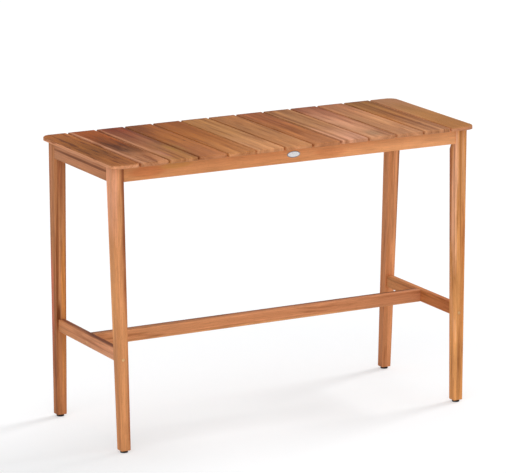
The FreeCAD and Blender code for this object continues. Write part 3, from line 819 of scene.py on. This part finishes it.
def makeBarrelNuts(nut):
    mesh = bmesh.new()
    for points in solidsOf("cross_dowel_nuts"):
        low, high = endsAlong(points, upwards)
        tall = (high - low).length / mm
        face = nut["radius"] - nut["chamfer"]
        profile = [("slot", nut["slot"], nut["slotDepth"]), ("slot", nut["slot"] + nut["slotFlare"], 0.0)]
        profile += roundProfile([(face, 0.0), (nut["radius"], nut["chamfer"]),
                                 (nut["radius"], tall - nut["chamfer"]), (face, tall)])
        turned(mesh, profile, placed(low, upwards), nut["sides"])
    finishPiece("barrel_nuts", mesh, zincFinish, "frame", ["cross_dowel_nuts"])


makeBarrelNuts(barrelSettings)

# hanger bolts, washers and nuts in the corners; heights are along the bolt, outwards from the leg
hangerSettings = {
    "radius": 4.0, "core": 3.6, "sides": 36,
    "point": 1.2, "pointEnd": 5, "woodThreadEnd": 30, "woodThreadDepth": 0.5, "woodPitch": 2.0,
    "plainStart": 31, "plainEnd": 33,
    "nutThreadStart": 34, "nutThreadDepth": 0.45, "nutPitch": 1.25, "tip": 3.2, "tipHeight": 0.6,
}
washerSettings = {"bore": 4.0, "mouth": 4.3, "radius": 9.0, "face": 8.9, "chamferHeight": 0.15, "sides": 36}
nutSettings = {"bore": 4.0, "mouth": 4.4, "flats": 6.5, "face": 6.2, "chamferHeight": 0.5, "sides": 36}


def hangerProfile(bolt, length):
    points = [(bolt["point"], 0), (bolt["core"], bolt["pointEnd"])]
    points += thread(bolt["radius"], bolt["woodThreadDepth"], bolt["woodPitch"], bolt["pointEnd"],
                     bolt["woodThreadEnd"])
    points += [(bolt["core"], bolt["plainStart"]), (bolt["core"], bolt["plainEnd"])]
    points += thread(bolt["radius"], bolt["nutThreadDepth"], bolt["nutPitch"], bolt["nutThreadStart"],
                     length - bolt["tipHeight"])
    return roundProfile(points + [(bolt["tip"], length)])


def washerProfile(washer, thickness):
    return roundProfile([(washer["bore"], 0.0), (washer["face"], 0.0),
                         (washer["radius"], washer["chamferHeight"]),
                         (washer["radius"], thickness - washer["chamferHeight"]),
                         (washer["face"], thickness), (washer["mouth"], thickness)])


def nutProfile(nut, tall):
    return [("round", nut["bore"], 0.0), ("round", nut["face"], 0.0),
            ("hexagon", nut["flats"], nut["chamferHeight"]),
            ("hexagon", nut["flats"], tall - nut["chamferHeight"]),
            ("round", nut["face"], tall), ("round", nut["mouth"], tall),
            ("round", nut["bore"], tall - nut["chamferHeight"])]


def makeCornerPieces(name, node, profileOf, settings):
    mesh = bmesh.new()
    for points in solidsOf(node):
        low, high = boxOf(points)
        inX, inY = -math.copysign(1, low.x + high.x), -math.copysign(1, low.y + high.y)
        outOfLeg = Vector((inX, inY, 0)).normalized()
        start, end = endsAlong(points, outOfLeg)
        profile = profileOf(settings, (end - start).length / mm)
        turned(mesh, profile, placed(start, outOfLeg), settings["sides"])
    finishPiece(name, mesh, zincFinish, "frame", [node])


makeCornerPieces("corner_hanger_bolts", "hanger_bolts", hangerProfile, hangerSettings)
makeCornerPieces("corner_washers", "hanger_washers", washerProfile, washerSettings)
makeCornerPieces("corner_nuts", "hanger_nuts", nutProfile, nutSettings)

# wood screws with a cross recess
screwSettings = {
    "head": 4.0, "headHeight": 2.5, "rim": 0.15, "sides": 32,
    "recess": 2.1, "recessDepth": 1.5, "mouthDepth": 0.1,
    "recessFloor": 0.5, "recessMouth": 1.06,            # shares of the recess
    "shank": 2.0, "point": 1.2,
    "shankShare": 0.8,       # of the length
}
screwPieces = {"slat_screws": "board_screws", "rail_screws": "apron_screws",
               "corner_block_screws": "block_screws"}


def makeScrews(node, name, screw):
    mesh = bmesh.new()
    for points in solidsOf(node):
        if node == "slat_screws":
            head, tip = endsAlong(points, longAxis(points))      # driven from below
        else:
            head, tip = headAndTip(points, False)
        length = (tip - head).length / mm
        profile = [("cross", screw["recess"] * screw["recessFloor"], screw["recessDepth"]),
                   ("cross", screw["recess"], screw["mouthDepth"]),
                   ("cross", screw["recess"] * screw["recessMouth"], 0.0)]
        profile += roundProfile([(screw["head"] - screw["rim"], 0.0), (screw["head"], screw["rim"]),
                                 (screw["shank"], screw["headHeight"]),
                                 (screw["shank"], length * screw["shankShare"]), (screw["point"], length)])
        turned(mesh, profile, placed(head, tip - head), screw["sides"])
    finishPiece(name, mesh, zincFinish, "frame", [node])


for node, name in screwPieces.items():
    makeScrews(node, name, screwSettings)
print("bar table: bolts, nuts, washers and screws made")


# levelling feet: a round pad, a stud with its collar and thread, and a sleeve in the leg

padSettings = {
    # radius and height, from the hollow below, up round the rim and down into the stud's seat
    "outline": [(10.6, 0.5), (11.0, 0.0), (12.6, 0.0), (13.2, 0.35), (13.4, 1.0), (13.4, 2.9), (13.1, 3.8),
                (12.4, 4.5), (11.2, 4.85), (9.0, 5.0), (6.6, 5.0), (6.1, 4.7), (5.1, 4.6), (5.06, 1.7),
                (0.5, 1.62)],
    "sides": 48,
}
studSettings = {
    "head": 5.0, "headChamfer": 0.4, "sides": 36,
    "collarBase": 5.2,       # above the floor
    "collar": 6.5, "collarFace": 6.1, "collarHeight": 2.3, "collarChamfer": 0.35,
    "shank": 4.0, "core": 3.6, "threadGap": 0.1, "threadDepth": 0.55, "pitch": 1.25,
    "tip": 3.2, "tipHeight": 0.8,
}
sleeveSettings = {"bore": 4.06, "mouth": 4.5, "mouthDepth": 0.5, "radius": 6.0, "face": 5.8,
                  "chamferHeight": 0.3, "sides": 36}


def footPoint(corner, height):
    low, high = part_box(corner + "_foot_pad")
    return Vector(((low.x + high.x) / 2, (low.y + high.y) / 2, height))


def makePad(corner, pad):
    low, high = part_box(corner + "_foot_pad")
    mesh = bmesh.new()
    turned(mesh, roundProfile(pad["outline"]), Matrix.Translation(footPoint(corner, low.z)), pad["sides"])
    finishPiece(corner + "_pad_piece", mesh, padFinish, corner + "_pad",
                [corner + "_foot_pad"])


def makeStud(corner, stud):
    low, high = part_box(corner + "_foot_stud")
    tall = (high.z - low.z) / mm
    collarLow = stud["collarBase"] - low.z / mm
    collarTop = collarLow + stud["collarHeight"]
    profile = roundProfile([(stud["head"] - stud["headChamfer"], 0.0), (stud["head"], stud["headChamfer"]),
                            (stud["head"], collarLow)])
    profile += [("round", stud["collarFace"], collarLow),
                ("hexagon", stud["collar"], collarLow + stud["collarChamfer"]),
                ("hexagon", stud["collar"], collarTop - stud["collarChamfer"]),
                ("round", stud["collarFace"], collarTop)]
    threadPoints = thread(stud["shank"], stud["threadDepth"], stud["pitch"], collarTop + stud["threadGap"],
                          tall - stud["tipHeight"])
    profile += roundProfile([(stud["core"], collarTop)] + threadPoints + [(stud["tip"], tall)])
    mesh = bmesh.new()
    turned(mesh, profile, Matrix.Translation(footPoint(corner, low.z)), stud["sides"])
    finishPiece(corner + "_stud_piece", mesh, zincFinish, corner + "_stud",
                [corner + "_foot_stud"])


def makeSleeves(sleeve):
    mesh = bmesh.new()
    for points in solidsOf("foot_sleeves"):
        low, high = endsAlong(points, upwards)
        tall = (high - low).length / mm
        profile = roundProfile([(sleeve["bore"], tall), (sleeve["bore"], sleeve["mouthDepth"]),
                                (sleeve["mouth"], 0.0), (sleeve["face"], 0.0),
                                (sleeve["radius"], sleeve["chamferHeight"]), (sleeve["radius"], tall)])
        turned(mesh, profile, placed(low, upwards), sleeve["sides"], closed=False)
    finishPiece("leg_sleeves", mesh, zincFinish, "frame", ["foot_sleeves"])


for corner in corners:
    makePad(corner, padSettings)
    makeStud(corner, studSettings)
makeSleeves(sleeveSettings)
print("bar table: feet made")


# a bare oval plate with a raised rim on the front apron

plateSettings = {
    "halfWidth": 25.2,
    "halfHeight": 11.2,
    "height": 962.0,         # of its middle, above the floor
    # share of the half width, and mm proud of the apron, from the outer edge inwards
    "outline": [(1.0, 0.0), (1.0, 0.7), (0.985, 0.95), (0.955, 1.1), (0.925, 1.05), (0.9, 0.8),
                (0.86, 0.72), (0.6, 0.86), (0.3, 0.95)],
    "middleProud": 0.98,
    "rimShare": 0.8,         # beyond this share the rim is as wide at the top as at the ends
    "rimStrips": 5,          # strips of faces, from the outer edge, in the rim's metal
    "sides": 72,
}


def makePlate(plate):
    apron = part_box("front_apron")[0].y
    wide, tall, height = plate["halfWidth"], plate["halfHeight"], plate["height"]
    mesh = bmesh.new()
    rings = []
    for share, proud in plate["outline"]:
        x, z = share * wide, share * tall
        if share > plate["rimShare"]:
            z = tall - (1 - share) * wide
        ring = []
        for step in range(plate["sides"]):
            angle = 2 * math.pi * step / plate["sides"]
            ring.append(mesh.verts.new((x * math.cos(angle) * mm, apron - proud * mm,
                                        (height + z * math.sin(angle)) * mm)))
        rings.append(ring)
    for number, (outer, inner) in enumerate(zip(rings, rings[1:])):
        bridge(mesh, outer, inner, 1 if number < plate["rimStrips"] else 0)
    fan(mesh, rings[-1], (0, apron - plate["middleProud"] * mm, height * mm))
    fan(mesh, rings[0], (0, apron, height * mm))
    piece = finishPiece("oval_plate", mesh, plateFinish, "frame")
    piece.data.materials.append(rimFinish)


makePlate(plateSettings)
print("bar table: oval plate made")


# floor, seen white, with the table's soft shadow on it; clear from below

floorSettings = {
    "halfWidth": 120,                       # m
    "squares": 8,
    "seenTone": (0.595, 0.607, 0.619, 1),   # darker than the bounce, so that shadows show
    "bounceTone": (0.82, 0.82, 0.82, 1),
    "glow": 0.42,                           # brings what is seen back to white
}


def makeFloor(settings):
    mesh = bmesh.new()
    bmesh.ops.create_grid(mesh, x_segments=settings["squares"], y_segments=settings["squares"],
                          size=settings["halfWidth"])
    data = bpy.data.meshes.new("floor")
    mesh.to_mesh(data)
    mesh.free()
    floor = bpy.data.objects.new("floor", data)
    bpy.context.scene.collection.objects.link(floor)
    material, tree = newMaterial("floor_white")
    seen = add(tree, "ShaderNodeLightPath").outputs["Is Camera Ray"]
    colour = mixed(tree, seen, settings["bounceTone"], settings["seenTone"])
    plain = add(tree, "ShaderNodeBsdfDiffuse", {"Color": colour})
    glow = add(tree, "ShaderNodeEmission", {"Color": (1, 1, 1, 1),
                                            "Strength": times(tree, seen, settings["glow"])})
    lit = add(tree, "ShaderNodeAddShader", {0: plain.outputs[0], 1: glow.outputs[0]})
    clear = add(tree, "ShaderNodeBsdfTransparent")
    under = add(tree, "ShaderNodeNewGeometry").outputs["Backfacing"]
    shader = add(tree, "ShaderNodeMixShader", {0: under, 1: lit.outputs[0], 2: clear.outputs[0]})
    finishMaterial(tree, shader)
    data.materials.append(material)


# lights: an even white world, a wide sun from above, a narrower one from the right and a low, very wide one
# from the front left

lightSettings = {
    "world": 0.45,
    "seenWorld": 1.0,        # the white that the camera sees behind the table
    "suns": [                # width in degrees
        {"strength": 0.16, "place": (0.2, 0.05, 1.0), "width": 40},
        {"strength": 0.45, "place": (1.0, 0.22, 0.7), "width": 18},
        {"strength": 0.52, "place": (-0.6, -0.85, 0.3), "width": 90},
    ],
}


def makeLights(settings):
    world = bpy.data.worlds.new("world")
    bpy.context.scene.world = world
    world.use_nodes = True
    tree = world.node_tree
    tree.nodes.clear()
    seen = add(tree, "ShaderNodeLightPath").outputs["Is Camera Ray"]
    strength = ranged(tree, seen, (0.0, 1.0), (settings["world"], settings["seenWorld"]))
    background = add(tree, "ShaderNodeBackground", {"Color": (1, 1, 1, 1), "Strength": strength})
    add(tree, "ShaderNodeOutputWorld", {"Surface": background.outputs[0]})
    for number, sunSettings in enumerate(settings["suns"], 1):
        data = bpy.data.lights.new(f"sun_{number}", "SUN")
        data.energy = sunSettings["strength"] * math.pi
        data.angle = math.radians(sunSettings["width"])
        sun = bpy.data.objects.new(f"sun_{number}", data)
        sun.rotation_euler = Vector(sunSettings["place"]).to_track_quat("Z", "Y").to_euler()
        bpy.context.scene.collection.objects.link(sun)


makeFloor(floorSettings)
makeLights(lightSettings)
bpy.context.scene.view_settings.view_transform = "Standard"
print("bar table: floor and lights set")
